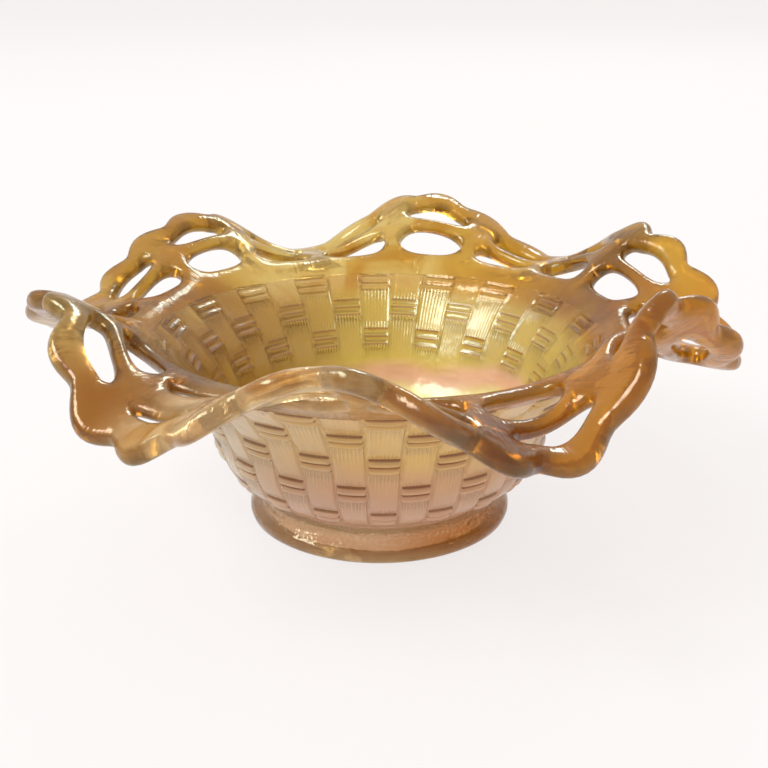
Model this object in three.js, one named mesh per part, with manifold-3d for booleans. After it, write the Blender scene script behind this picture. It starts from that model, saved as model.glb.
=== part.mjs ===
// A pressed carnival glass bowl with a collar base, a basket-weave body and a pierced, ruffled rim.
// Millimetres, +Z up. The origin is the centre of the resting face, on the bowl's axis.
// Azimuths are degrees round the axis, from the front (-Y) towards the right (+X).
import * as THREE from "three";
import { mergeVertices } from "three/addons/utils/BufferGeometryUtils.js";
import Module from "manifold-3d";

// Collar base
const FOOT_RADIUS = 34.5; // of the rounded flange
const REST_RADIUS = 33.4; // outside of the flat ring that the bowl rests on
const REST_WIDTH = 4.9;
const FOOT_BORE = 27;
const FOOT_TOP = 8.7;
const NECK_RADIUS = 31.2;

// Basket body
const JOINT_GAP = 0.3; // left between regions that touch
const FLOOR_TOP = 10.6; // the inside of the bowl at its middle
const RECESS_TOP = 5.4; // the underside of the floor, inside the collar base
const WALL = 3.5;
const JOIN_RADIUS = 58; // middle of the wall where the weave ends and the rim begins
const JOIN_HEIGHT = 49.3;
const JOIN_SLOPE = 44; // degrees above level, outwards

// Basket weave, measured down the outside of the wall from its top edge
const COLUMNS = 36;
const COLUMN_START = 1.4; // azimuth of the middle of the first column
const FIRST_ROW = 3.6;
const ROW_PITCH = 9.1;
const ROWS = 4;
const REED_HALF = 2.2; // half the height of a pair of reeds
const REED_SIDE = 0.6; // the height of its rounded side
const REED_RELIEF = 0.5; // reliefs are from the mean surface of the wall
const STRAP_RELIEF = 0.3; // where a strap passes over the hidden reeds
const STRAP_SIDE_RELIEF = 0.1;
const WALL_RELIEF = -0.25;
const COLUMN_HALF = 4.3; // degrees from the middle of a column to its side
const WEAVE_END = 4.6; // the weave stops this far above the foot

// Pierced rim
const RIM_WIDTH = 33.5; // along the glass, from the weave to the lip
const LIP_THICK = 4.8;
const SCALLOP_DEPTH = 3.4;
const SCALLOP_SOFTNESS = 0.3; // 0 would make the notches sharp
const SCALLOP_REACH = 20; // the scallops fade out this near to the weave
const SCALLOPS = 36;
const HOLE_PAIRS = 18;
const HOLE_START = 6.4; // azimuth of the middle of the first pair, and of the first scallop
const RIM_SEGMENTS = 144;
const BEND_WIDTH = 7; // the rim turns from the wall's slope to its own slope within this width
const CURL_START = 12; // from here to CURL_START + CURL_WIDTH a lobe may turn further
const CURL_WIDTH = 18;
const HOLES = [
  { middle: 10.6, halfWidth: 4.3, halfLength: 9 }, // inner row
  { middle: 21.5, halfWidth: 3.2, halfLength: 8.6 }, // outer row
];

// The hand-made ruffles, as crests and troughs in order round the rim: azimuth, slope of the rim
// in degrees above level, how far its lip then turns, how much wider the hot glass was pulled,
// and how many degrees its lip was dragged round.
const RUFFLES = [
  [-163, -8, 1, -1.5, 0],
  [-136, 36, -28, 1.4, -2.5],
  [-101, -15, 9, -1.1, -5],
  [-63, 44.5, -24, -1.6, 0],
  [-37.5, -4, -26, 1.3, 0],
  [-7, 37, -13, -1.1, 0],
  [24, -12, 0, 0.5, 0],
  [47, 44, 6, 2.2, 0],
  [80, -12, 9, -1, -1],
  [114, 43, -13, -1.6, -1],
  [141, -3, -3, -2, 0],
  [170, 45, -36, 1.3, 0],
];

const radians = THREE.MathUtils.degToRad;
const wasm = await Module();
wasm.setup();

// A point at a radius, azimuth and height.
function roundPoint(radius, azimuth, height) {
  const turn = radians(azimuth);
  return new THREE.Vector3(radius * Math.sin(turn), -radius * Math.cos(turn), height);
}

// A ring or disc turned from a profile, with every vertex put where place(step, row) says.
function turned(profile, segments, place) {
  const geometry = new THREE.LatheGeometry(profile, segments);
  const position = geometry.getAttribute("position");
  for (let i = 0; i < position.count; i++) {
    const step = Math.floor(i / profile.length) % segments;
    const point = place(step, i % profile.length);
    position.setXYZ(i, point.x, point.y, point.z);
  }
  return geometry;
}

// A plain turned solid: the profile's x is the radius and its y the height.
function turnedPlain(profile, segments) {
  return turned(profile, segments, (step, row) =>
    roundPoint(profile[row].x, (360 * step) / segments, profile[row].y));
}

function toSolid(geometry) {
  const bare = geometry.clone();
  bare.deleteAttribute("normal");
  bare.deleteAttribute("uv");
  const merged = mergeVertices(bare, 1e-3);
  return new wasm.Manifold(new wasm.Mesh({
    numProp: 3,
    vertProperties: merged.getAttribute("position").array,
    triVerts: new Uint32Array(merged.index.array),
  }));
}

function toGeometry(solid) {
  const mesh = solid.getMesh();
  const geometry = new THREE.BufferGeometry();
  geometry.setAttribute("position", new THREE.BufferAttribute(mesh.vertProperties, 3));
  geometry.setIndex(new THREE.BufferAttribute(mesh.triVerts, 1));
  geometry.computeVertexNormals();
  return geometry;
}

function points(list) {
  return list.map(([radius, height]) => new THREE.Vector2(radius, height));
}

// Collar base: a ring with a flat rest, a rounded flange and a cove up to the neck.
function collarBase() {
  const profile = points([
    [REST_RADIUS - REST_WIDTH, 0],
    [REST_RADIUS, 0],
    [FOOT_RADIUS - 0.3, 0.5],
    [FOOT_RADIUS, 1.4],
    [FOOT_RADIUS - 0.1, 2.9],
    [FOOT_RADIUS - 0.9, 3.8],
    [NECK_RADIUS + 0.3, 5],
    [NECK_RADIUS, 6.6],
    [NECK_RADIUS + 0.2, FOOT_TOP],
    [FOOT_BORE, FOOT_TOP],
    [FOOT_BORE, 0.7],
    [REST_RADIUS - REST_WIDTH, 0],
  ]);
  return turnedPlain(profile, COLUMNS * 2);
}

// The outside of the wall, from the neck up to the rim.
function outsideCurve() {
  const slope = radians(JOIN_SLOPE);
  return new THREE.SplineCurve(points([
    [NECK_RADIUS + 0.2, FOOT_TOP + JOINT_GAP],
    [33.6, 10.1],
    [37.2, 12.8],
    [40.6, 17],
    [42.8, 22.3],
    [45.9, 31.1],
    [50.5, 39],
    [56.2, 45.4],
    [JOIN_RADIUS + (WALL / 2) * Math.sin(slope), JOIN_HEIGHT - (WALL / 2) * Math.cos(slope)],
  ]));
}

// The inside of the wall, from the middle of the floor up to the rim.
function insideCurve() {
  const slope = radians(JOIN_SLOPE);
  return new THREE.SplineCurve(points([
    [0, FLOOR_TOP],
    [15, FLOOR_TOP + 0.3],
    [25, 12.6],
    [32.2, 16],
    [36.8, 20],
    [39.2, 24.6],
    [42.4, 32.6],
    [47.4, 41],
    [53.5, 47.8],
    [JOIN_RADIUS - (WALL / 2) * Math.sin(slope), JOIN_HEIGHT + (WALL / 2) * Math.cos(slope)],
  ]));
}

// The rows of vertices on the outside, from the top down: where each one lies, which way is out,
// and how far it stands out in the even and in the odd columns.
function weaveRows() {
  const curve = outsideCurve();
  const length = curve.getLength();
  const rows = [];
  const addRow = (down, even, odd) => {
    const along = curve.getTangentAt(1 - down / length);
    const out = new THREE.Vector2(along.y, -along.x);
    rows.push({ at: curve.getPointAt(1 - down / length), out, relief: [even, odd] });
  };
  addRow(0, 0, 0);
  for (let row = 0; row < ROWS; row++) {
    for (const half of [-1, 1]) {
      const side = FIRST_ROW + row * ROW_PITCH + half * REED_HALF;
      const corner = [side, REED_RELIEF, STRAP_RELIEF];
      const rootLine = [side + half * REED_SIDE, WALL_RELIEF, STRAP_SIDE_RELIEF];
      const pair = half < 0 ? [rootLine, corner] : [corner, rootLine];
      for (const [down, reed, strap] of pair) {
        addRow(down, row % 2 ? strap : reed, row % 2 ? reed : strap);
      }
    }
  }
  addRow(length - WEAVE_END - REED_SIDE * 2, STRAP_SIDE_RELIEF, STRAP_SIDE_RELIEF);
  addRow(length - WEAVE_END, 0, 0);
  addRow(length - WEAVE_END / 2, 0, 0);
  addRow(length, 0, 0);
  return rows;
}

// Basket body: floor and wall, with the straps and the pairs of reeds that cross over them.
function basketBody() {
  const inside = insideCurve().getSpacedPoints(9);
  const rows = weaveRows();
  const spigot = points([
    [FOOT_BORE - JOINT_GAP, FOOT_TOP + JOINT_GAP],
    [FOOT_BORE - JOINT_GAP, RECESS_TOP + 0.8],
    [FOOT_BORE - JOINT_GAP - 0.8, RECESS_TOP],
    [0, RECESS_TOP],
  ]);
  const profile = [...inside, ...rows.map((row) => row.at), ...spigot].reverse();
  const place = (step, index) => {
    const column = Math.floor(step / 2);
    const aside = step % 2 ? COLUMN_HALF : -COLUMN_HALF;
    const row = rows[profile.length - 1 - index - inside.length];
    const at = row ? row.at.clone().addScaledVector(row.out, row.relief[column % 2]) : profile[index];
    return roundPoint(at.x, COLUMN_START + (360 / COLUMNS) * column + aside, at.y);
  };
  return turned(profile, COLUMNS * 2, place);
}

// How the rim is bent at an azimuth, easing from each crest or trough to the next.
function ruffleAt(azimuth) {
  const [first] = RUFFLES;
  const turn = THREE.MathUtils.euclideanModulo(azimuth - first[0], 360) + first[0];
  const round = [...RUFFLES, [first[0] + 360, ...first.slice(1)]];
  const next = round.findIndex((ruffle) => ruffle[0] > turn);
  const [before, after] = [round[next - 1], round[next]];
  const ease = 0.5 - 0.5 * Math.cos((Math.PI * (turn - before[0])) / (after[0] - before[0]));
  const eased = (i) => THREE.MathUtils.lerp(before[i], after[i], ease);
  return { slope: eased(1), curl: eased(2), pull: eased(3), sway: eased(4) };
}

// The middle of the rim's glass, a distance out from the weave.
function rimMiddle(azimuth, out) {
  const { slope, curl, pull, sway } = ruffleAt(azimuth);
  const steps = 16;
  const step = (out * (1 + pull / RIM_WIDTH)) / steps;
  let [radius, height] = [JOIN_RADIUS, JOIN_HEIGHT];
  for (let i = 0; i < steps; i++) {
    const at = (out * (i + 0.5)) / steps;
    const bend = THREE.MathUtils.smoothstep(at, 0, BEND_WIDTH);
    const turn = curl * Math.max(0, (at - CURL_START) / CURL_WIDTH);
    const angle = radians(THREE.MathUtils.lerp(JOIN_SLOPE, slope, bend) + turn);
    radius += Math.cos(angle) * step;
    height += Math.sin(angle) * step;
  }
  const dragged = sway * THREE.MathUtils.smoothstep(out, 0, RIM_WIDTH);
  return roundPoint(radius, azimuth + dragged, height);
}

// A point of the rim: out from the weave along the glass, then up through its thickness.
function rimPoint(azimuth, out, up) {
  const middle = rimMiddle(azimuth, out);
  const outwards = rimMiddle(azimuth, out + 0.1).sub(rimMiddle(azimuth, out - 0.1));
  const sideways = rimMiddle(azimuth + 0.2, out).sub(rimMiddle(azimuth - 0.2, out));
  return middle.addScaledVector(outwards.cross(sideways).normalize(), up);
}

// How far the lip stands in from the tips of its scallops.
function scallopAt(azimuth) {
  const wave = Math.cos((radians(azimuth - HOLE_START) * SCALLOPS) / 2);
  const tip = Math.hypot(1, SCALLOP_SOFTNESS);
  return (SCALLOP_DEPTH * (Math.hypot(wave, SCALLOP_SOFTNESS) - tip)) / (tip - SCALLOP_SOFTNESS);
}

// Open-edge rim: the bent band with its rounded, scalloped lip and two rows of oval holes.
function openEdgeRim() {
  const [half, lip] = [WALL / 2, LIP_THICK / 2];
  const profile = points([
    [JOINT_GAP, -half],
    [8, -half],
    [18, -half],
    [RIM_WIDTH - 2.4, -lip],
    [RIM_WIDTH - 0.6, -lip * 0.6],
    [RIM_WIDTH, 0],
    [RIM_WIDTH - 0.6, lip * 0.6],
    [RIM_WIDTH - 2.4, lip],
    [18, half],
    [8, half],
    [JOINT_GAP, half],
    [JOINT_GAP, -half],
  ]);
  const band = turned(profile, RIM_SEGMENTS, (step, row) => {
    const azimuth = HOLE_START + (360 * step) / RIM_SEGMENTS;
    const { x: out, y: up } = profile[row];
    const share = THREE.MathUtils.smoothstep(out, SCALLOP_REACH, RIM_WIDTH);
    return rimPoint(azimuth, out + scallopAt(azimuth) * share, up);
  });
  let solid = toSolid(band);
  for (let pair = 0; pair < HOLE_PAIRS; pair++) {
    for (const hole of HOLES) {
      solid = solid.subtract(holeCutter(hole, HOLE_START + (360 * pair) / HOLE_PAIRS));
    }
  }
  return toGeometry(solid);
}

// An oval plug that follows the bent glass.
function holeCutter({ middle, halfWidth, halfLength }, azimuth) {
  const reach = 6;
  const oval = new THREE.Shape().absellipse(0, 0, halfLength, halfWidth, 0, 2 * Math.PI);
  const plug = new THREE.ExtrudeGeometry(oval, {
    depth: 2 * reach,
    bevelEnabled: false,
    curveSegments: 6,
  });
  const position = plug.getAttribute("position");
  const degreesPerMm = THREE.MathUtils.radToDeg(1 / (JOIN_RADIUS + middle * 0.8));
  for (let i = 0; i < position.count; i++) {
    const aside = position.getX(i) * degreesPerMm;
    const point = rimPoint(azimuth - aside, middle + position.getY(i), position.getZ(i) - reach);
    position.setXYZ(i, point.x, point.y, point.z);
  }
  return toSolid(plug);
}

function glass(color, roughness) {
  return new THREE.MeshStandardMaterial({ color, roughness, metalness: 0.15 });
}

function region(name, geometry, material) {
  const mesh = new THREE.Mesh(geometry, material);
  mesh.name = name;
  return mesh;
}

const bowl = new THREE.Group();
bowl.add(region("collar_base", collarBase(), glass(0xc08a5a, 0.18)));
bowl.add(region("basket_body", basketBody(), glass(0xc99b4e, 0.3)));
bowl.add(region("open_edge_rim", openEdgeRim(), glass(0xc98a35, 0.15)));

export default bowl;
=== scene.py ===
"""A marigold carnival glass bowl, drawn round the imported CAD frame. Lengths are metres.

The bowl is one continuous glass, so one closed mesh stands for the three CAD regions. It is made
in the order the real one is: a plain pierced rim is modelled flat, subdivided, and then bent into
its ruffles, and the wall under it carries the basket weave. Azimuths are degrees round the axis,
from the front (-Y) towards the right (+X)."""

import math

import bpy
import numpy as np
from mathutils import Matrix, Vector


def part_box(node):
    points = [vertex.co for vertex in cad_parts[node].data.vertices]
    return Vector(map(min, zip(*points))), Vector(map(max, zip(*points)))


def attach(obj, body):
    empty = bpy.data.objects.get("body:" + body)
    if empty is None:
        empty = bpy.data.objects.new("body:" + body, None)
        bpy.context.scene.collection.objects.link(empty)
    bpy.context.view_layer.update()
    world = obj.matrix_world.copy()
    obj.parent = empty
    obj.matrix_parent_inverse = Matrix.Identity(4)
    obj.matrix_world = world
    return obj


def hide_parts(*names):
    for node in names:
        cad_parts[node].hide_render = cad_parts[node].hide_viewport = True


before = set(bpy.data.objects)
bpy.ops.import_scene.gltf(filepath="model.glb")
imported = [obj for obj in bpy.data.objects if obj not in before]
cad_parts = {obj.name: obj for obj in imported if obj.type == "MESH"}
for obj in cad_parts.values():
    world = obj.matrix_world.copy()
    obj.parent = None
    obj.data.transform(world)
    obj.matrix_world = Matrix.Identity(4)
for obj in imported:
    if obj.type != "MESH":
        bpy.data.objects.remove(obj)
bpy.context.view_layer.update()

MM = 0.001
GLASS_SLOT = "marigold_glass"

# Places and sizes of the CAD regions, in millimetres like the rest of the bowl's own dimensions.
REGION_GAP = 0.3
FOOT_HIGH = np.array(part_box("collar_base")[1]) / MM
BODY_LOW = np.array(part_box("basket_body")[0]) / MM
FOOT_RADIUS = FOOT_HIGH[0]
FOOT_TOP = FOOT_HIGH[2] + REGION_GAP / 2
RECESS_TOP = BODY_LOW[2]

# Collar base and floor
REST_RADIUS = FOOT_RADIUS - 1.1
REST_WIDTH = 4.9
FOOT_BORE = FOOT_RADIUS - 7.5
NECK_RADIUS = FOOT_RADIUS - 3.3
FLOOR_THICKNESS = 5.2
FLOOR_TOP = RECESS_TOP + FLOOR_THICKNESS

# Wall and the join with the rim
WALL = 3.5
JOIN_RADIUS = 58.0
JOIN_HEIGHT = 49.3
JOIN_SLOPE = 44.0

# Weave
COLUMNS = 36
COLUMN_START = 1.4
FIRST_ROW = 3.6
ROW_PITCH = 9.1
ROWS = 4
SPLINTS = 9  # fine lines across one strap
REED_ASIDE = 1.22  # from the middle of a pair to the middle of each reed
REED_HALF = 1.05
PAIR_EDGE = (2.3, 2.75)  # where a pair of reeds falls away
STRAP_EDGE = (2.35, 3.6)  # where the strap under a pair comes up again
STRAP_SIDE = (0.84, 0.98)  # where a strap falls away at its side, in half columns
REED_END = (0.86, 0.97)  # the same for a reed's end
STRAP_DIP = 0.25  # share of its height that a strap keeps where it goes under
REED_GROUND = 0.1  # the same for a reed at its edge
REED_BOW = 0.25  # how much lower a reed is at its ends
OUTSIDE_REED = 1.25
OUTSIDE_STRAP = 0.75
OUTSIDE_BACK = 0.5  # how far the ground of the weave lies inside the smooth wall
INSIDE_REED = 0.4
INSIDE_STRAP = 0.25
PLAIN_BAND = 4.6  # wall without weave above the foot
INSIDE_WEAVE_END = 27.0  # distance down the inside wall
INSIDE_ROWS = 3
OUTSIDE_FADE = (1.0, 1.5)  # distances over which the weave comes up under the rim and ends
INSIDE_FADE = (1.5, 3)

# Rim
RIM_WIDTH = 33.5
SCALLOP_DEPTH = 3.4
SCALLOP_SOFTNESS = 0.3
SCALLOP_REACH = 20.0
SCALLOPS = 36
HOLE_PAIRS = 18
HOLE_START = 6.4
RIM_HALF_BELOW = 2.1  # half thickness under the holes, beside them and at the lip
RIM_HALF = 2.3
LIP_HALVES = [2.6, 2.1]
LIP_INSETS = [3.6, 0.4]  # how far in from the lip its two rows of the cage lie
BEND_WIDTH = 7.0
CURL_START = 12.0
CURL_WIDTH = 18.0
HOLES = [  # middle, half width and half length of the ovals of each row
    (10.5, 3.8, 9.0),
    (21.5, 3.0, 8.6),
]
PINCHED_PAIR = 16  # hand work has squeezed these two holes nearly shut
PINCHED_SHARE = 0.2
RUFFLES = [  # azimuth, slope, curl, pull and sway, as in the CAD frame
    (-163, -8, 1, -1.5, 0),
    (-136, 36, -28, 1.4, -2.5),
    (-101, -15, 9, -1.1, -5),
    (-63, 44.5, -24, -1.6, 0),
    (-37.5, -4, -26, 1.3, 0),
    (-7, 37, -13, -1.1, 0),
    (24, -12, 0, 0.5, 0),
    (47, 44, 6, 2.2, 0),
    (80, -12, 9, -1, -1),
    (114, 43, -13, -1.6, -1),
    (141, -3, -3, -2, 0),
    (170, 45, -36, 1.3, 0),
]

SETTLE = 3.0  # distance over which the vertices move from the rim's places to the weave's
OUTSIDE_BLEND = 1.0  # distances over which each side's own colour comes in
INSIDE_BLEND = 14.0
FOOT_BLEND = 0.5

CELLS = 6  # cage cells across one pair of holes
LEVELS = 2  # subdivision of the cage
ROUND = HOLE_PAIRS * CELLS * 2**LEVELS  # vertices round the finished bowl
PER_COLUMN = ROUND // COLUMNS


def smoothstep(value, low, high):
    """Smoothly from 0 to 1 as the value goes from low to high."""
    t = np.clip((np.asarray(value, float) - low) / (high - low), 0, 1)
    return t * t * (3 - 2 * t)


def round_points(radius, azimuth, height):
    """Points round the axis."""
    turn = np.radians(azimuth)
    return np.stack(
        np.broadcast_arrays(radius * np.sin(turn), -radius * np.cos(turn), height), axis=-1
    )


# ---- Rim: a flat pierced cage, subdivided, then bent ----

def cage_rows():
    """Distance out from the weave and half thickness of each row of the cage."""
    (low, low_half, _), (high, high_half, _) = HOLES
    rows = [0, low - low_half, low, low + low_half, high - high_half, high, high + high_half]
    rows += [RIM_WIDTH - inset for inset in LIP_INSETS]
    return rows, [WALL / 2, RIM_HALF_BELOW] + [RIM_HALF] * 5 + LIP_HALVES


# Shares of an oval's half length and half width at which its cage vertices lie, by how many cells
# they are from its middle. The subdivision draws them in.
MIDDLE_REACH = (0, 0.5, 1.07)
CORNER_REACH = (0, 0.52, 0.93)
CORNER_LIFT = (1.04, 1.0, 0.6)
BRIDGE_LIFT = 0.75  # the same in the middle of the bridge between two holes


def cage_place(column, row, rows):
    """Azimuth and distance out of a cage vertex: those round a hole lie on its oval."""
    middle = HOLE_START + (column // CELLS) * 360 / HOLE_PAIRS
    aside = column % CELLS - CELLS // 2
    azimuth = middle + aside * 360 / HOLE_PAIRS / CELLS
    for hole, (centre, half_width, half_length) in enumerate(HOLES):
        up = row - (2 + 3 * hole)
        if abs(up) > 1:
            continue
        if column // CELLS == PINCHED_PAIR:
            half_width *= PINCHED_SHARE
        if abs(aside) == CELLS // 2:
            return azimuth, centre + up * half_width * BRIDGE_LIFT
        degrees = math.degrees(1 / (JOIN_RADIUS + centre * 0.8))
        reach = (MIDDLE_REACH if up == 0 else CORNER_REACH)[abs(aside)]
        lift = CORNER_LIFT[abs(aside)]
        side = math.copysign(1, aside)
        return middle + side * reach * half_length * degrees, centre + up * lift * half_width
    return azimuth, rows[row]


def rim_cage():
    """The cage on a cylinder: height is the distance out and radius the place in the glass."""
    rows, halves = cage_rows()
    columns = HOLE_PAIRS * CELLS
    radius = JOIN_RADIUS + RIM_WIDTH / 2
    vertices = []
    for face in (-1, 1):
        for row in range(len(rows)):
            for column in range(columns):
                azimuth, out = cage_place(column, row, rows)
                turn = math.radians(azimuth)
                r = radius + face * halves[row]
                vertices.append((r * math.sin(turn), -r * math.cos(turn), out))

    def vertex(face, row, column):
        return (face * len(rows) + row) * columns + column % columns

    def open_cell(row, column):
        inside = 1 <= column % CELLS <= CELLS - 2
        return inside and 0 <= row < len(rows) - 1 and row in (1, 2, 4, 5)

    faces = []
    for row in range(len(rows) - 1):
        for column in range(columns):
            if open_cell(row, column):
                continue
            low = [vertex(0, row, column), vertex(0, row, column + 1),
                   vertex(0, row + 1, column + 1), vertex(0, row + 1, column)]
            high = [v + len(rows) * columns for v in low]
            faces += [low, high[::-1]]
            for i, (near_row, near_column) in enumerate(
                ((row - 1, column), (row, column + 1), (row + 1, column), (row, column - 1))
            ):
                if open_cell(near_row, near_column) or near_row == len(rows) - 1:
                    j = (i + 1) % 4
                    faces.append([low[j], low[i], high[i], high[j]])
    return np.array(vertices), faces, radius


def subdivided(vertices, faces):
    """The smooth limit of the cage, as points and quads."""
    mesh = bpy.data.meshes.new("rim_cage")
    mesh.from_pydata([tuple(v) for v in vertices], [], faces)
    cage = bpy.data.objects.new("rim_cage", mesh)
    bpy.context.scene.collection.objects.link(cage)
    smooth = cage.modifiers.new("smooth", "SUBSURF")
    smooth.levels = LEVELS
    smooth.render_levels = LEVELS
    fine = cage.evaluated_get(bpy.context.evaluated_depsgraph_get()).data
    points = np.empty(len(fine.vertices) * 3)
    fine.vertices.foreach_get("co", points)
    quads = np.empty(len(fine.loops), int)
    fine.loops.foreach_get("vertex_index", quads)
    bpy.data.objects.remove(cage)
    bpy.data.meshes.remove(mesh)
    return points.reshape(-1, 3), quads.reshape(-1, 4)


def ruffle_at(azimuth):
    """Slope, curl, pull and sway at each azimuth, easing from each crest or trough to the next."""
    table = np.array(RUFFLES + [(RUFFLES[0][0] + 360, *RUFFLES[0][1:])], float)
    turn = np.mod(azimuth - table[0, 0], 360) + table[0, 0]
    before = np.clip(np.searchsorted(table[:, 0], turn, side="right") - 1, 0, len(RUFFLES) - 1)
    share = (turn - table[before, 0]) / (table[before + 1, 0] - table[before, 0])
    ease = (0.5 - 0.5 * np.cos(np.pi * share))[:, None]
    return (table[before, 1:] * (1 - ease) + table[before + 1, 1:] * ease).T


def rim_middle(azimuth, out, steps=24):
    """Points of the middle of the glass, found by walking out from the join along the slope."""
    slope, curl, pull, sway = ruffle_at(azimuth)
    step = out * (1 + pull / RIM_WIDTH) / steps
    at = out[:, None] * (np.arange(steps) + 0.5) / steps
    bend = smoothstep(at, 0, BEND_WIDTH)
    turn = curl[:, None] * np.maximum(0, (at - CURL_START) / CURL_WIDTH)
    angle = np.radians(JOIN_SLOPE + (slope[:, None] - JOIN_SLOPE) * bend + turn)
    radius = JOIN_RADIUS + np.cos(angle).sum(1) * step
    height = JOIN_HEIGHT + np.sin(angle).sum(1) * step
    return round_points(radius, azimuth + sway * smoothstep(out, 0, RIM_WIDTH), height)


PROBE = 0.1  # small steps out and round that give the glass its direction
PROBE_DEGREES = 0.2


def rim_points(azimuth, out, up):
    """Points that stand off the middle of the glass by up."""
    outwards = rim_middle(azimuth, out + PROBE) - rim_middle(azimuth, out - PROBE)
    turn = PROBE_DEGREES
    sideways = rim_middle(azimuth + turn, out) - rim_middle(azimuth - turn, out)
    across = np.cross(outwards, sideways)
    across /= np.linalg.norm(across, axis=1)[:, None]
    return rim_middle(azimuth, out) + across * up[:, None]


def scallop_at(azimuth):
    """How far the lip falls back from its scallops' tips."""
    wave = np.cos(np.radians(azimuth - HOLE_START) * SCALLOPS / 2)
    tip = math.hypot(1, SCALLOP_SOFTNESS)
    return SCALLOP_DEPTH * (np.hypot(wave, SCALLOP_SOFTNESS) - tip) / (tip - SCALLOP_SOFTNESS)


def bent_rim():
    """The rim's vertices and faces, and its two open loops in order of azimuth."""
    vertices, faces, radius = rim_cage()
    flat, quads = subdivided(vertices, faces)
    azimuth = np.degrees(np.arctan2(flat[:, 0], -flat[:, 1]))
    out = flat[:, 2]
    up = np.hypot(flat[:, 0], flat[:, 1]) - radius
    edge = np.abs(out) < 1e-4
    up = up - up[edge].mean()
    loops = []
    for face in (-1, 1):
        ring = np.flatnonzero(edge & (up * face > 0))
        order = np.argsort(np.mod(azimuth[ring] - HOLE_START + 0.01, 360))
        loops.append(ring[order])
    out = out + scallop_at(azimuth) * smoothstep(out, SCALLOP_REACH, RIM_WIDTH)
    return rim_points(azimuth, out, up), quads, loops


# ---- Wall: profiles, and the weave that stands out of them ----

def curve(points):
    """A smooth line through the points: its places and the distance run to each."""
    points = np.array(points, float)
    padded = np.vstack([points[0], points, points[-1]])
    t = np.linspace(0, 1, 60)[:, None]
    parts = []
    for a, b, c, d in zip(padded, padded[1:], padded[2:], padded[3:]):
        v0, v1 = (c - a) / 2, (d - b) / 2
        parts.append(
            (2 * b - 2 * c + v0 + v1) * t**3 + (-3 * b + 3 * c - 2 * v0 - v1) * t**2 + v0 * t + b
        )
    line = np.vstack([part[:-1] for part in parts] + [points[-1:]])
    run = np.concatenate([[0], np.cumsum(np.linalg.norm(np.diff(line, axis=0), axis=1))])
    return line, run


def along(line, run, places):
    """Points of a curve and its normals (to the left of its direction) at distances along it."""
    at = np.stack([np.interp(places, run, line[:, i]) for i in (0, 1)], axis=-1)
    ahead = np.stack([np.interp(places + 0.3, run, line[:, i]) for i in (0, 1)], axis=-1)
    behind = np.stack([np.interp(places - 0.3, run, line[:, i]) for i in (0, 1)], axis=-1)
    direction = ahead - behind
    direction /= np.linalg.norm(direction, axis=1)[:, None]
    return at, np.stack([-direction[:, 1], direction[:, 0]], axis=-1)


def join_point(side):
    """Where the wall meets the rim, on the outside (-1) or inside (1) face."""
    turn = math.radians(JOIN_SLOPE)
    half = side * WALL / 2
    return (JOIN_RADIUS - half * math.sin(turn), JOIN_HEIGHT + half * math.cos(turn))


def outside_profile():
    return curve([
        join_point(-1), (56.2, 45.4), (50.5, 39), (45.9, 31.1), (42.8, 22.3), (40.6, 17),
        (37.2, 12.8), (33.6, 10.1), (NECK_RADIUS + 0.2, FOOT_TOP),
    ])


def inside_profile():
    return curve([
        join_point(1), (53.5, 47.8), (47.4, 41), (42.4, 32.6), (39.2, 24.6), (36.8, 20),
        (32.2, 16), (25, 12.6), (15, FLOOR_TOP + 0.3), (0, FLOOR_TOP),
    ])


# Where rows of vertices lie, from the middle of a pair of reeds
OUTSIDE_OFFSETS = [4.55, 3.6, 2.75, 2.35, 1.85, 1.25, 0.65, 0.25, 0]
INSIDE_OFFSETS = [4.55, 3.5, 2.7, 2.3, 1.75, 1.2, 0.3, 0]
PLAIN_RINGS = (0.3, 1.5, 3)  # below the end of the weave outside
FLOOR_RINGS = 14


def weave_places(rows, halves):
    """Distances down the wall of the rings of vertices in so many rows of the weave."""
    offsets = sorted({sign * offset for offset in halves for sign in (-1, 1)})
    places = []
    for row in range(rows):
        middle = FIRST_ROW + row * ROW_PITCH
        places += [middle + offset for offset in offsets if offset < ROW_PITCH / 2 - 0.05]
    return np.array([place for place in places if place > 0.2])


def column_offsets():
    """Azimuths of the vertices in a column, from the gap at its start: close at the gaps."""
    half = 180 / COLUMNS
    share = np.array([0, 0.08, 0.16, 0.28, 0.52, 0.76, 1.0])
    start = share * half
    return np.concatenate([start, 2 * half - start[-2:0:-1]])


def weave_height(azimuth, down, reed_high, strap_high):
    """How far the weave stands out of the wall."""
    column = np.round((azimuth - COLUMN_START) * COLUMNS / 360)
    aside = ((azimuth - COLUMN_START) * COLUMNS / 360 - column) * 2
    parity = np.mod(column, 2)
    row = np.round((down - FIRST_ROW) / ROW_PITCH)
    own = np.mod(row, 2) == parity
    offset = down - FIRST_ROW - row * ROW_PITCH
    phase = (down - FIRST_ROW) / ROW_PITCH - parity
    over = 0.5 - 0.5 * np.cos(np.pi * phase)
    side = 1 - smoothstep(np.abs(aside), *STRAP_SIDE)
    strap = strap_high * (STRAP_DIP + (1 - STRAP_DIP) * over) * side
    rib = np.abs(np.abs(offset) - REED_ASIDE) / REED_HALF
    ribs = np.sqrt(np.clip(1 - rib**2, 0, 1))
    bow = (1 - REED_BOW * aside**2) * (1 - smoothstep(np.abs(aside), *REED_END))
    reed = reed_high * (REED_GROUND + (1 - REED_GROUND) * ribs) * bow
    near = 1 - smoothstep(np.abs(offset), *PAIR_EDGE)
    under = smoothstep(np.abs(offset), *STRAP_EDGE)
    strap = np.where(own, strap * under, strap)
    return np.where(own, np.maximum(strap, reed * near), strap)


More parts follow.
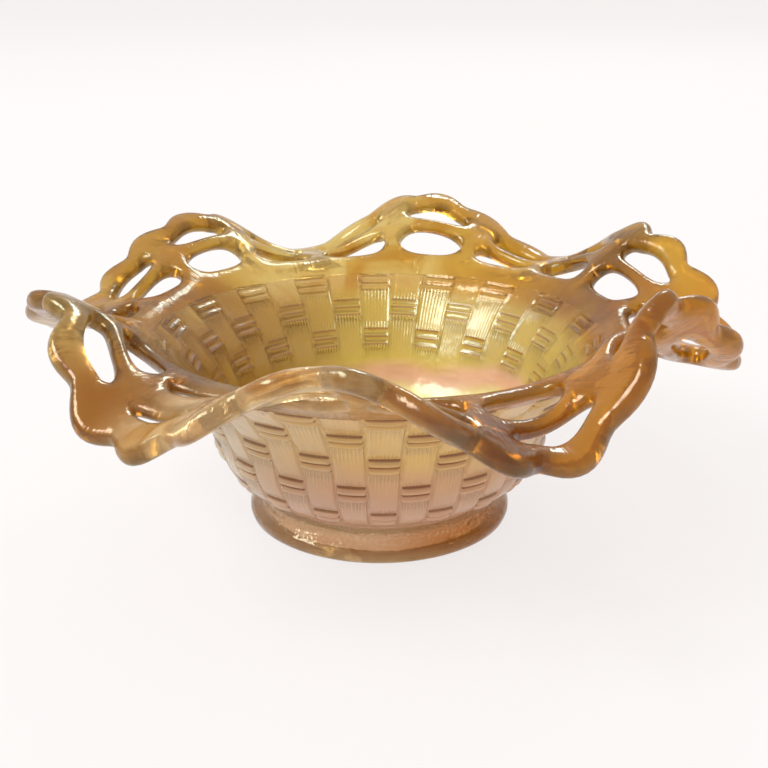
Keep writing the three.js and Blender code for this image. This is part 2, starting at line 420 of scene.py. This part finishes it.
def glass_bowl():
    """The whole mesh. Side is -2 on the foot, -1 outside, 0 on the rim and 1 inside, and down is
    the distance run down the wall from the rim."""
    rim, rim_quads, (outer_loop, inner_loop) = bent_rim()
    vertices = [rim]
    faces = [rim_quads]
    side = [np.zeros(len(rim))]
    down = [np.zeros(len(rim))]
    count = len(rim)
    outside = outside_profile()
    weave_end = outside[1][-1] - PLAIN_BAND
    base_azimuth = HOLE_START + np.arange(ROUND) * 360 / ROUND
    offsets = np.tile(column_offsets(), COLUMNS)
    columns = np.repeat(np.arange(COLUMNS), PER_COLUMN)
    woven_azimuth = HOLE_START + columns * 360 / COLUMNS + offsets

    def add_rings(loop, profile, places, relief, settle, flip, value, blend):
        """Rings of vertices down a profile, joined to the loop above; gives the last one.

        Relief stands out of the profile. The vertices move from the even places of the rim to
        those of the weave over settle, and the side's value comes in over blend."""
        nonlocal count
        at, out = along(*profile, places)
        for place, point, normal in zip(places, at, out):
            share = smoothstep(place, 0, settle) if settle else 0.0
            azimuth = base_azimuth * (1 - share) + woven_azimuth * share
            high = relief(azimuth, place)
            ring = round_points(point[0] + normal[0] * high, azimuth, point[1] + normal[1] * high)
            vertices.append(ring)
            side.append(np.full(ROUND, value * smoothstep(place, 0, blend)))
            down.append(np.full(ROUND, place))
            new = count + np.arange(ROUND)
            count += ROUND
            quads = np.stack([loop, np.roll(loop, -1), np.roll(new, -1), new], axis=1)
            faces.append(quads if flip else quads[:, ::-1])
            loop = new
        return loop

    def plain(azimuth, place):
        return 0.0

    def outside_relief(azimuth, place):
        start, end = OUTSIDE_FADE
        fade = smoothstep(place, 0, start) * (1 - smoothstep(place, weave_end - end, weave_end))
        return fade * (weave_height(azimuth, place, OUTSIDE_REED, OUTSIDE_STRAP) - OUTSIDE_BACK)

    def inside_relief(azimuth, place):
        start, end = INSIDE_FADE
        down_to_end = smoothstep(place, INSIDE_WEAVE_END - end, INSIDE_WEAVE_END)
        fade = smoothstep(place, 0, start) * (1 - down_to_end)
        return fade * weave_height(azimuth, place, INSIDE_REED, INSIDE_STRAP)

    places = weave_places(ROWS + 1, OUTSIDE_OFFSETS)
    places = np.concatenate([[0.25], places[(places < weave_end) & (places > 0.4)]])
    below = [weave_end + further for further in PLAIN_RINGS]
    places = np.concatenate([places, below, outside[1][-1:]])
    outer = add_rings(outer_loop, outside, places, outside_relief,
                      settle=SETTLE, flip=False, value=-1, blend=OUTSIDE_BLEND)

    line, run = inside_profile()
    places = weave_places(INSIDE_ROWS, INSIDE_OFFSETS)
    places = np.concatenate([[0.25], places[places > 0.4]])
    floor_places = np.linspace(places[-1] + 2, run[-1] - 1.5, FLOOR_RINGS)
    places = np.concatenate([places, floor_places])
    inner = add_rings(inner_loop, (line, run), places, inside_relief,
                      settle=SETTLE, flip=True, value=1, blend=INSIDE_BLEND)

    foot = foot_profile()
    under = add_rings(outer, foot, foot_places(foot[1]), plain,
                      settle=0, flip=False, value=-2, blend=FOOT_BLEND)

    for loop, height, flip in ((inner, FLOOR_TOP, True), (under, RECESS_TOP, False)):
        vertices.append(np.array([[0, 0, height]]))
        side.append(np.array([1.0 if flip else -2.0]))
        down.append(np.full(1, run[-1]))
        ends = np.stack([loop, np.roll(loop, -1), np.full(ROUND, count)], axis=1)
        faces.append(ends if flip else ends[:, ::-1])
        count += 1
    looks = {"side": side, "down": down}
    looks = {name: np.concatenate(values) for name, values in looks.items()}
    return np.vstack(vertices) * MM, faces, looks


def foot_profile():
    """Down the cove and round the flange to the rest, then up the bore and in to the axis."""
    line, run = curve([
        (NECK_RADIUS + 0.2, FOOT_TOP), (NECK_RADIUS, 7.2), (NECK_RADIUS + 0.3, 5.6),
        (FOOT_RADIUS - 1.6, 4.2), (FOOT_RADIUS - 0.2, 3), (FOOT_RADIUS, 1.7),
        (FOOT_RADIUS - 0.4, 0.5), (REST_RADIUS, 0), (REST_RADIUS - REST_WIDTH, 0),
        (FOOT_BORE + 0.5, 0.5), (FOOT_BORE, 1.6), (FOOT_BORE - 0.5, 4.2),
        (FOOT_BORE - 2.2, RECESS_TOP), (10, RECESS_TOP), (0, RECESS_TOP),
    ])
    return np.maximum(line, 0), run


def foot_places(run):
    """Distances along the foot's profile: close on the flange and the rest, then wide."""
    return np.concatenate([np.arange(0.9, 24, 1.1), [26, 30, run[-1] - 8, run[-1] - 1.5]])


def make_glass():
    vertices, faces, looks = glass_bowl()
    mesh = bpy.data.meshes.new("pressed_glass_bowl")
    mesh.from_pydata(vertices.tolist(), [], [face for part in faces for face in part.tolist()])
    for name, values in looks.items():
        attribute = mesh.attributes.new(name, "FLOAT", "POINT")
        attribute.data.foreach_set("value", values)
    mesh.polygons.foreach_set("use_smooth", [True] * len(mesh.polygons))
    mesh.update()
    print("bowl", len(mesh.vertices), "vertices", len(mesh.polygons), "faces",
          "valid" if not mesh.validate(verbose=False) else "mended")
    bowl = bpy.data.objects.new("pressed_glass_bowl", mesh)
    bpy.context.scene.collection.objects.link(bowl)
    return bowl


# ---- Material ----

# Light that one wall lets through or gives back, by region; some of these are painted light and
# shade, as marked.
RIM_AMBER = (0.50, 0.21, 0.01, 1)
RIM_BROWN = (0.29, 0.095, 0.008, 1)
RIM_ORANGE = (0.64, 0.25, 0.006, 1)
RIM_GOLD = (0.66, 0.38, 0.035, 1)
RIM_PALE = (0.88, 0.64, 0.33, 1)
RIM_STRAW = (0.76, 0.56, 0.17, 1)
INSIDE_AMBER = (0.42, 0.18, 0.008, 1)
INSIDE_GOLD = (0.66, 0.50, 0.07, 1)
# painted reflections on the inside: a pink arc low on the wall and a glow on the floor
INSIDE_PINK_REFLECTION = (0.80, 0.40, 0.30, 1)
INSIDE_REFLECTED_GLOW = (0.80, 0.70, 0.24, 1)
OUTSIDE_TAN = (0.90, 0.58, 0.22, 1)
OUTSIDE_MAUVE = (0.86, 0.50, 0.35, 1)
# painted light: the lit left of the outside wall, the highlights on the splints and the glints on
# the stipple
OUTSIDE_PAINTED_LIGHT = (0.98, 0.82, 0.60, 1)
# painted shade in the grooves of the weave
GROOVE_SHADE = (0.30, 0.105, 0.035, 1)
FOOT_PEACH = (0.72, 0.43, 0.23, 1)
# painted shade on the right side of the foot
FOOT_SHADE_ORANGE = (0.56, 0.17, 0.012, 1)

# Shares of a colour where its region is full
PINK_REFLECTION_SHARE = 0.75
# how pale the painted highlights along the splints' flutes are
SPLINT_HIGHLIGHT = 0.4
# share of the painted groove shade that the inside keeps
INSIDE_GROOVE_SHADE = 0.8

# Gloss
RIM_ROUGHNESS = 0.16
INSIDE_ROUGHNESS = 0.21
LEFT_MATT = 0.12  # more roughness on the left of the inside
OUTSIDE_MATT = 0.05  # more roughness on the outside
FOOT_POLISH = 0.08  # less roughness on the foot
GLASS_IOR = 1.5
COAT_WEIGHT = 0.6  # the broad glow on the right of the inside
COAT_ROUGHNESS = 0.35

# Share of the light that goes through the glass, and how much of it is lost or won by region
CLEAR = 0.85
OUTSIDE_MILKY = 0.37
INSIDE_MILKY = 0.2
FLOOR_MILKY = 0.4
FOOT_CLEARER = 0.35

# Iridescent film, in nanometres
FILM_IOR = 1.58
RIM_FILM = 240.0
INSIDE_FILM = 195.0
FILM_DRIFT = 110.0

# Where each region begins and where it is full: first by the mesh's side value
INSIDE_SIDE = (0.0, 1.0)
OUTSIDE_SIDE = (-0.2, -0.8)
FOOT_SIDE = (-1.2, -1.8)
FILM_SIDE = (0.2, 0.8)
STROKE_SIDE = (0.1, 0.4)  # where the strokes of the rim end, on either side

# then by height, in metres
FLANGE_TOP = (0.0035, 0.005)
WEAVE_FOOT = (0.012, 0.0135)
TAN_ABOVE = (0.026, 0.046)
MILKY_TOP = (0.033, 0.026)
# painted reflections: the glow on the inside floor and the pink arc above it
REFLECTED_GLOW_TOP = (0.034, 0.030)
PINK_REFLECTION_ARC = (0.039, 0.035)

# then by x, in metres
GOLD_FROM_LEFT = (-0.03, 0.03)
INSIDE_RIGHT = (0.0, 0.03)
MATT_LEFT = (0.01, -0.02)
COAT_RIGHT = (-0.01, 0.03)
# painted light on the left of the outside wall, where the light falls
LIT_LEFT = (0.01, -0.03)
# painted shade on the right of the foot
FOOT_SHADE_RIGHT = (0.02, 0.05)

# Painted shade in the grooves, and the splints of the weave, in millimetres from their lines
MIDDLE_GROOVE = (0.12, 0.45)
EDGE_GROOVE = (0.10, 0.42)
PAIR_SIDE = (2.3, 2.8)
FURTHER_REACH = 5.0
GROOVE_END = (0.42, 0.48)  # in columns from the middle of one

# Size of each noise, in features to a metre
CLOUD_SCALE = 22.0
FILM_SCALE = 30.0
WISP_SCALE = 45.0
RIPPLE_SCALE = 80.0
STIPPLE_SCALE = 1500.0
STIPPLE_GRAIN = (0.45, 0.62)  # noise where a grain begins and where it is full
STIPPLE_GLINT = 0.3  # how pale the painted glint on a grain is
STROKES_ROUND = 80.0  # strokes to a radian
STROKES_OUT = 30.0
DRIFT = (0.04, 0.04, 0.016)  # how far the clouds move the regions' edges, in metres

# Height of each bump, in metres
SPLINT_BUMP = 0.00013
STIPPLE_BUMP = 0.0002
RIPPLE_BUMP = 0.0011
STROKE_BUMP = 0.0002


class Tree:
    """Short calls that add a node and link its inputs."""

    def __init__(self, material):
        self.nodes = material.node_tree.nodes
        self.links = material.node_tree.links

    def add(self, kind, inputs=None, **settings):
        node = self.nodes.new(kind)
        for name, value in settings.items():
            setattr(node, name, value)
        for name, value in (inputs or {}).items():
            self.set(node.inputs[name], value)
        return node

    def set(self, socket, value):
        if isinstance(value, bpy.types.NodeSocket):
            self.links.new(value, socket)
        else:
            socket.default_value = value

    def math(self, operation, a, b=0.0):
        node = self.nodes.new("ShaderNodeMath")
        node.operation = operation
        for socket, value in zip(node.inputs, (a, b)):
            self.set(socket, value)
        return node.outputs[0]

    def times(self, *values):
        product = values[0]
        for value in values[1:]:
            product = self.math("MULTIPLY", product, value)
        return product

    def ramp(self, value, low, high, start=0.0, end=1.0):
        """Smoothly from start to end as the value goes from low to high."""
        node = self.nodes.new("ShaderNodeMapRange")
        node.interpolation_type = "SMOOTHSTEP"
        for socket, item in zip(node.inputs, (value, low, high, start, end)):
            self.set(socket, item)
        return node.outputs[0]

    def mix(self, share, a, b):
        """The colour a, or b where the share is 1."""
        node = self.nodes.new("ShaderNodeMix")
        node.data_type = "RGBA"
        self.set(node.inputs[0], share)
        self.set(node.inputs[6], a)
        self.set(node.inputs[7], b)
        return node.outputs[2]

    def noise(self, place, scale, detail=2.0, distortion=0.0):
        inputs = {"Vector": place, "Scale": scale, "Detail": detail, "Distortion": distortion}
        return self.add("ShaderNodeTexNoise", inputs).outputs[0]


def attribute(tree, name):
    return tree.add("ShaderNodeAttribute", attribute_name=name).outputs["Fac"]


def weave_marks(tree, azimuth, woven):
    """Where the painted shade in the grooves round the reeds lies, and where the splints of the
    straps show.
    """
    down = attribute(tree, "down")
    turn = tree.math("SUBTRACT", azimuth, math.radians(COLUMN_START))
    turn = tree.math("DIVIDE", turn, math.tau / COLUMNS)
    column = tree.math("ROUND", turn)
    aside = tree.math("ABSOLUTE", tree.math("SUBTRACT", turn, column))
    row_place = tree.math("DIVIDE", tree.math("SUBTRACT", down, FIRST_ROW), ROW_PITCH)
    row = tree.math("ROUND", row_place)
    below = tree.math("MULTIPLY", tree.math("SUBTRACT", row_place, row), ROW_PITCH)
    other = tree.math("FLOORED_MODULO", tree.math("ADD", row, column), 2.0)
    own = tree.math("MULTIPLY", tree.math("SUBTRACT", 1.0, other), woven)
    offset = tree.math("ABSOLUTE", below)
    middle_line = tree.ramp(offset, *MIDDLE_GROOVE, 1.0, 0.0)
    from_edge = tree.math("ABSOLUTE", tree.math("SUBTRACT", offset, STRAP_EDGE[0]))
    edge_line = tree.ramp(from_edge, *EDGE_GROOVE, 1.0, 0.0)
    # painted shade: the grooves in the middle and at the edges of each pair of reeds
    groove_shade = tree.math("MULTIPLY", tree.math("MAXIMUM", middle_line, edge_line), own)
    groove_shade = tree.math("MULTIPLY", groove_shade, tree.ramp(aside, *GROOVE_END, 1.0, 0.0))

    start, full = PAIR_SIDE
    just_below = tree.math("MULTIPLY", tree.ramp(below, start, full), own)
    just_above = tree.math("MULTIPLY", tree.ramp(below, -start, -full, 0.0, 0.4), own)
    further = tree.math("MULTIPLY", tree.ramp(below, -FURTHER_REACH, 0.0, 0.5, 0.1), other)
    fringe = tree.math("ADD", tree.math("MAXIMUM", just_below, just_above), further)
    fringe = tree.math("MULTIPLY", fringe, woven)
    lines = tree.math("COSINE", tree.math("MULTIPLY", azimuth, COLUMNS * SPLINTS))
    return groove_shade, tree.math("MULTIPLY", lines, fringe)


# Where each region of the rim's colour begins and where it is full, in metres along x or y
LEFT_X = (-0.005, -0.03)
LEFT_END_X = (-0.065, -0.045)
LEFT_Y = (0.02, -0.01)
BACK_GOLD_X = (-0.06, 0.0)
BACK_GOLD_Y = (0.02, 0.07)
TIP_X = (-0.038, -0.052)
TIP_Y = (0.0, -0.02)
BACK_STRAW_LEFT_X = (-0.035, -0.005)
BACK_STRAW_RIGHT_X = (0.05, 0.03)
BACK_STRAW_Y = (0.03, 0.06)
ORANGE_X_LESS_Y = (0.04, 0.10)
FRONT_Y = (-0.03, -0.05)
LIP_LEFT_X = (0.025, 0.035)
LIP_RIGHT_X = (0.06, 0.05)
PALE_LEFT_X = (-0.035, -0.02)
PALE_RIGHT_X = (0.04, 0.025)

# The same in values of the noise
GOLD_WISPS = (0.44, 0.60)
STRAW_WISPS = (0.40, 0.56)
AMBER_WISPS = (0.48, 0.60)
BROWN_CLOUDS = (0.46, 0.33)

# Shares of some colours where their regions are full
LEFT_SHARE = 0.8
TIP_SHARE = 0.6
ORANGE_SHARE = 0.9
AMBER_SHARE = 0.8


def rim_color(tree, x, y, cloud, wisps):
    """Amber, gold and brown in clouds, with the colour that leads in each part of the rim."""
    rim = tree.mix(tree.ramp(wisps, *GOLD_WISPS), RIM_AMBER, RIM_GOLD)
    rim = tree.mix(tree.ramp(cloud, *BROWN_CLOUDS), rim, RIM_BROWN)
    # brown on the left lobes, most of all on the front one
    left = tree.times(tree.ramp(x, *LEFT_X), tree.ramp(x, *LEFT_END_X))
    left = tree.times(left, tree.ramp(y, *LEFT_Y, 0.5, 1.0), LEFT_SHARE)
    rim = tree.mix(left, rim, RIM_BROWN)
    # gold at the back, and straw yellow at the tip of the front left lobe and in the back's wisps
    gold = tree.times(tree.ramp(y, *BACK_GOLD_Y), tree.ramp(x, *BACK_GOLD_X, 0.1, 0.4))
    rim = tree.mix(gold, rim, RIM_GOLD)
    tip = tree.times(tree.ramp(x, *TIP_X), tree.ramp(y, *TIP_Y, 0.0, TIP_SHARE))
    rim = tree.mix(tip, rim, RIM_STRAW)
    back = tree.times(tree.ramp(y, *BACK_STRAW_Y), tree.ramp(x, *BACK_STRAW_LEFT_X))
    back = tree.times(back, tree.ramp(x, *BACK_STRAW_RIGHT_X), tree.ramp(wisps, *STRAW_WISPS))
    rim = tree.mix(back, rim, RIM_STRAW)
    # orange on the front right lobe, with a brown lip
    right = tree.ramp(tree.math("SUBTRACT", x, y), *ORANGE_X_LESS_Y, 0.0, ORANGE_SHARE)
    rim = tree.mix(right, rim, RIM_ORANGE)
    front = tree.ramp(y, *FRONT_Y)
    lip = tree.times(front, tree.ramp(x, *LIP_RIGHT_X, 0.4, 1.0), tree.ramp(x, *LIP_LEFT_X))
    rim = tree.mix(lip, rim, RIM_BROWN)
    # pale, with amber wisps, in the middle of the front
    middle = tree.times(front, tree.ramp(x, *PALE_RIGHT_X), tree.ramp(x, *PALE_LEFT_X))
    wisps_share = tree.ramp(wisps, *AMBER_WISPS, 0.0, AMBER_SHARE)
    return tree.mix(middle, rim, tree.mix(wisps_share, RIM_PALE, RIM_AMBER))


def inside_color(tree, x, z):
    """Amber to gold from left to right, and on the right a painted pink reflection arc over a
    painted glow of reflected light on the floor.
    """
    bowl = tree.mix(tree.ramp(x, *GOLD_FROM_LEFT), INSIDE_AMBER, INSIDE_GOLD)
    right = tree.ramp(x, *INSIDE_RIGHT)
    # painted reflection: a pink arc low on the right of the inside
    bowl = tree.mix(tree.times(right, tree.ramp(z, *PINK_REFLECTION_ARC, 0.0, PINK_REFLECTION_SHARE)), bowl, INSIDE_PINK_REFLECTION)
    # painted reflection: a pale glow on the right of the inside floor
    return tree.mix(tree.times(right, tree.ramp(z, *REFLECTED_GLOW_TOP)), bowl, INSIDE_REFLECTED_GLOW)


def outside_color(tree, x, z, splints):
    """Mauve below and tan above, with painted light on the left and painted highlights on the
    splints.
    """
    wall = tree.mix(tree.ramp(z, *TAN_ABOVE), OUTSIDE_MAUVE, OUTSIDE_TAN)
    # painted light: the outside wall paler on its left, where the light falls
    wall = tree.mix(tree.ramp(x, *LIT_LEFT), wall, OUTSIDE_PAINTED_LIGHT)
    # painted highlights along the splints' flutes
    return tree.mix(tree.ramp(splints, 0.0, 1.0, 0.0, SPLINT_HIGHLIGHT), wall, OUTSIDE_PAINTED_LIGHT)


def glass_color(tree, place, sides, groove_shade, splints, stipple):
    """The sprayed film's colour by region, with painted shade in the weave's grooves and on the
    foot's right side, painted light on the outside wall's left, painted highlights on the splints,
    painted glints on the stipple, and painted reflections inside.
    """
    inside, outside, foot = sides
    cloud = tree.noise(place, CLOUD_SCALE)
    wisps = tree.noise(place, WISP_SCALE, detail=3.0, distortion=0.8)
    drift = tree.add("ShaderNodeCombineXYZ", {"X": cloud, "Y": cloud, "Z": cloud}).outputs[0]
    drift = tree.add("ShaderNodeVectorMath", {0: drift, 1: DRIFT}, operation="MULTIPLY")
    moved = tree.add("ShaderNodeVectorMath", {0: place, 1: drift.outputs[0]}, operation="ADD")
    x, y, z = tree.add("ShaderNodeSeparateXYZ", {"Vector": moved.outputs[0]}).outputs
    # painted shade: the foot darker orange on its right side
    base = tree.mix(tree.ramp(x, *FOOT_SHADE_RIGHT), FOOT_PEACH, FOOT_SHADE_ORANGE)
    # painted glints: the stipple's grains painted pale
    base = tree.mix(tree.times(stipple, STIPPLE_GLINT), base, OUTSIDE_PAINTED_LIGHT)
    color = tree.mix(inside, rim_color(tree, x, y, cloud, wisps), inside_color(tree, x, z))
    color = tree.mix(outside, color, outside_color(tree, x, z, splints))
    # painted shade darkens the grooves, a little less on the inside
    groove_shade = tree.times(groove_shade, tree.ramp(inside, 0.0, 1.0, 1.0, INSIDE_GROOVE_SHADE))
    color = tree.mix(groove_shade, color, GROOVE_SHADE)
    return tree.mix(foot, color, base)


def tool_strokes(tree, x, y, azimuth, side):
    """Fine strokes across the rim, where the glass was drawn out with a tool."""
    radius = tree.math("SQRT", tree.math("ADD", tree.times(x, x), tree.times(y, y)))
    across = {"X": tree.times(azimuth, STROKES_ROUND), "Y": tree.times(radius, STROKES_OUT)}
    place = tree.add("ShaderNodeCombineXYZ", across).outputs[0]
    on_rim = tree.ramp(tree.math("ABSOLUTE", side), *STROKE_SIDE, 1.0, 0.0)
    return tree.times(tree.noise(place, 1.0, detail=3.0), on_rim)


def stipple_marks(tree, place, z, outside):
    """Fine grain on the plain band above the foot: its bumps, and the painted glints on its
    grains.
    """
    grain = tree.ramp(tree.noise(place, STIPPLE_SCALE, detail=1.0), *STIPPLE_GRAIN)
    above_flange = tree.ramp(z, *FLANGE_TOP)
    below_weave = tree.ramp(z, *WEAVE_FOOT[::-1])
    return tree.times(grain, above_flange, below_weave, outside)


def surface_bumps(tree, heights):
    """Bumps laid one on another, from pairs of height and distance."""
    normal = None
    for height, distance in heights:
        inputs = {"Height": height, "Distance": distance}
        if normal is not None:
            inputs["Normal"] = normal
        normal = tree.add("ShaderNodeBump", inputs).outputs[0]
    return normal


def marigold_glass():
    material = bpy.data.materials.new(GLASS_SLOT)
    material.use_nodes = True
    tree = Tree(material)
    shader = tree.nodes["Principled BSDF"]
    place = tree.add("ShaderNodeTexCoord").outputs["Object"]
    x, y, z = tree.add("ShaderNodeSeparateXYZ", {"Vector": place}).outputs
    side = attribute(tree, "side")
    inside = tree.ramp(side, *INSIDE_SIDE)
    outside = tree.ramp(side, *OUTSIDE_SIDE)
    foot = tree.ramp(side, *FOOT_SIDE)
    above_end = tree.ramp(attribute(tree, "down"), INSIDE_WEAVE_END, INSIDE_WEAVE_END - 2)
    woven_inside = tree.times(inside, above_end)
    woven_outside = tree.times(outside, tree.ramp(z, *WEAVE_FOOT))
    woven = tree.math("MAXIMUM", woven_inside, woven_outside)

    azimuth = tree.math("ARCTAN2", x, tree.times(y, -1.0))
    groove_shade, splints = weave_marks(tree, azimuth, woven)
    stipple = stipple_marks(tree, place, z, outside)
    color = glass_color(tree, place, (inside, outside, foot), groove_shade, splints, stipple)
    tree.set(shader.inputs["Base Color"], color)

    rough = tree.ramp(side, *INSIDE_SIDE, RIM_ROUGHNESS, INSIDE_ROUGHNESS)
    matt = tree.times(inside, tree.ramp(x, *MATT_LEFT, 0.0, LEFT_MATT))
    rough = tree.math("ADD", rough, matt)
    rough = tree.math("ADD", rough, tree.times(outside, OUTSIDE_MATT))
    rough = tree.math("SUBTRACT", rough, tree.times(foot, FOOT_POLISH))
    tree.set(shader.inputs["Roughness"], rough)
    shader.inputs["IOR"].default_value = GLASS_IOR

    clear = tree.math("SUBTRACT", CLEAR, tree.times(outside, OUTSIDE_MILKY))
    clear = tree.math("SUBTRACT", clear, tree.times(inside, INSIDE_MILKY))
    clear = tree.math("ADD", clear, tree.times(foot, FOOT_CLEARER))
    milky_floor = tree.times(inside, tree.ramp(z, *MILKY_TOP, 0.0, FLOOR_MILKY))
    clear = tree.math("SUBTRACT", clear, milky_floor)
    tree.set(shader.inputs["Transmission Weight"], clear)

    coat = tree.times(inside, tree.ramp(x, *COAT_RIGHT, 0.0, COAT_WEIGHT))
    tree.set(shader.inputs["Coat Weight"], coat)
    shader.inputs["Coat Roughness"].default_value = COAT_ROUGHNESS
    shader.inputs["Coat IOR"].default_value = GLASS_IOR

    film = tree.times(tree.noise(place, FILM_SCALE), FILM_DRIFT)
    film = tree.math("ADD", film, tree.ramp(side, *FILM_SIDE, RIM_FILM, INSIDE_FILM))
    tree.set(shader.inputs["Thin Film Thickness"], film)
    shader.inputs["Thin Film IOR"].default_value = FILM_IOR

    bumps = surface_bumps(tree, [
        (splints, SPLINT_BUMP),
        (stipple, STIPPLE_BUMP),
        (tree.noise(place, RIPPLE_SCALE, detail=3.0), RIPPLE_BUMP),
        (tool_strokes(tree, x, y, azimuth, side), STROKE_BUMP),
    ])
    tree.set(shader.inputs["Normal"], bumps)
    return material


# ---- Stage ----

FLOOR_SIZE = 60
FLOOR_DROP = 0.0002  # below the bowl's rest, so that the two faces don't flicker
FLOOR_COLOR = (0.15, 0.145, 0.143, 1)
FLOOR_GLOW = (0.785, 0.763, 0.758, 1)
FLOOR_ROUGHNESS = 0.9
FLOOR_SHINE = 0.1
ROOM_COLOR = (0.98, 0.935, 0.88, 1)
ROOM_STRENGTH = 0.68
CAMERA_TARGET = (0, 0, 0.030)
CAMERA_DISTANCE = 0.310
CAMERA_ELEVATION = 20.8
CAMERA_LENS = 55.5  # this and the sensor in millimetres
CAMERA_SENSOR = 36
CAMERA_SHIFT = (0.006, 0.021)
LIGHT_TARGET = (0, 0, 0.04)
SOFTBOXES = [  # name, place, width, height and watts
    ("key", (-1.21, -0.56, 1.48), 1.2, 0.8, 34),
    ("back", (0.4, 1.48, 1.28), 0.44, 0.44, 9),
]


def floor():
    bpy.ops.mesh.primitive_plane_add(size=FLOOR_SIZE, location=(0, 0, -FLOOR_DROP))
    plane = bpy.context.object
    plane.name = "floor"
    material = bpy.data.materials.new("pale_floor")
    material.use_nodes = True
    shader = material.node_tree.nodes["Principled BSDF"]
    shader.inputs["Base Color"].default_value = FLOOR_COLOR
    shader.inputs["Emission Color"].default_value = FLOOR_GLOW
    shader.inputs["Emission Strength"].default_value = 1.0
    shader.inputs["Roughness"].default_value = FLOOR_ROUGHNESS
    shader.inputs["Specular IOR Level"].default_value = FLOOR_SHINE
    plane.data.materials.append(material)


def look_at(thing, target):
    thing.rotation_euler = (Vector(target) - thing.location).to_track_quat("-Z", "Y").to_euler()


def camera():
    data = bpy.data.cameras.new("camera")
    view = bpy.data.objects.new("camera", data)
    bpy.context.scene.collection.objects.link(view)
    elevation = math.radians(CAMERA_ELEVATION)
    away = Vector((0, -math.cos(elevation), math.sin(elevation)))
    view.location = Vector(CAMERA_TARGET) + CAMERA_DISTANCE * away
    look_at(view, CAMERA_TARGET)
    data.lens = CAMERA_LENS
    data.sensor_width = CAMERA_SENSOR
    data.shift_x, data.shift_y = CAMERA_SHIFT
    bpy.context.scene.camera = view


def softbox(name, place, width, height, power):
    data = bpy.data.lights.new(name, "AREA")
    data.shape = "RECTANGLE"
    data.size = width
    data.size_y = height
    data.energy = power
    lamp = bpy.data.objects.new(name, data)
    bpy.context.scene.collection.objects.link(lamp)
    lamp.location = place
    look_at(lamp, LIGHT_TARGET)


def lighting():
    world = bpy.data.worlds.new("studio")
    bpy.context.scene.world = world
    world.use_nodes = True
    background = world.node_tree.nodes["Background"]
    background.inputs["Color"].default_value = ROOM_COLOR
    background.inputs["Strength"].default_value = ROOM_STRENGTH
    for box in SOFTBOXES:
        softbox(*box)


camera()
lighting()
floor()
bowl = make_glass()
bowl.data.materials.append(marigold_glass())
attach(bowl, "root")
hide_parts("collar_base", "basket_body", "open_edge_rim")

scene = bpy.context.scene
scene.view_settings.view_transform = "Standard"
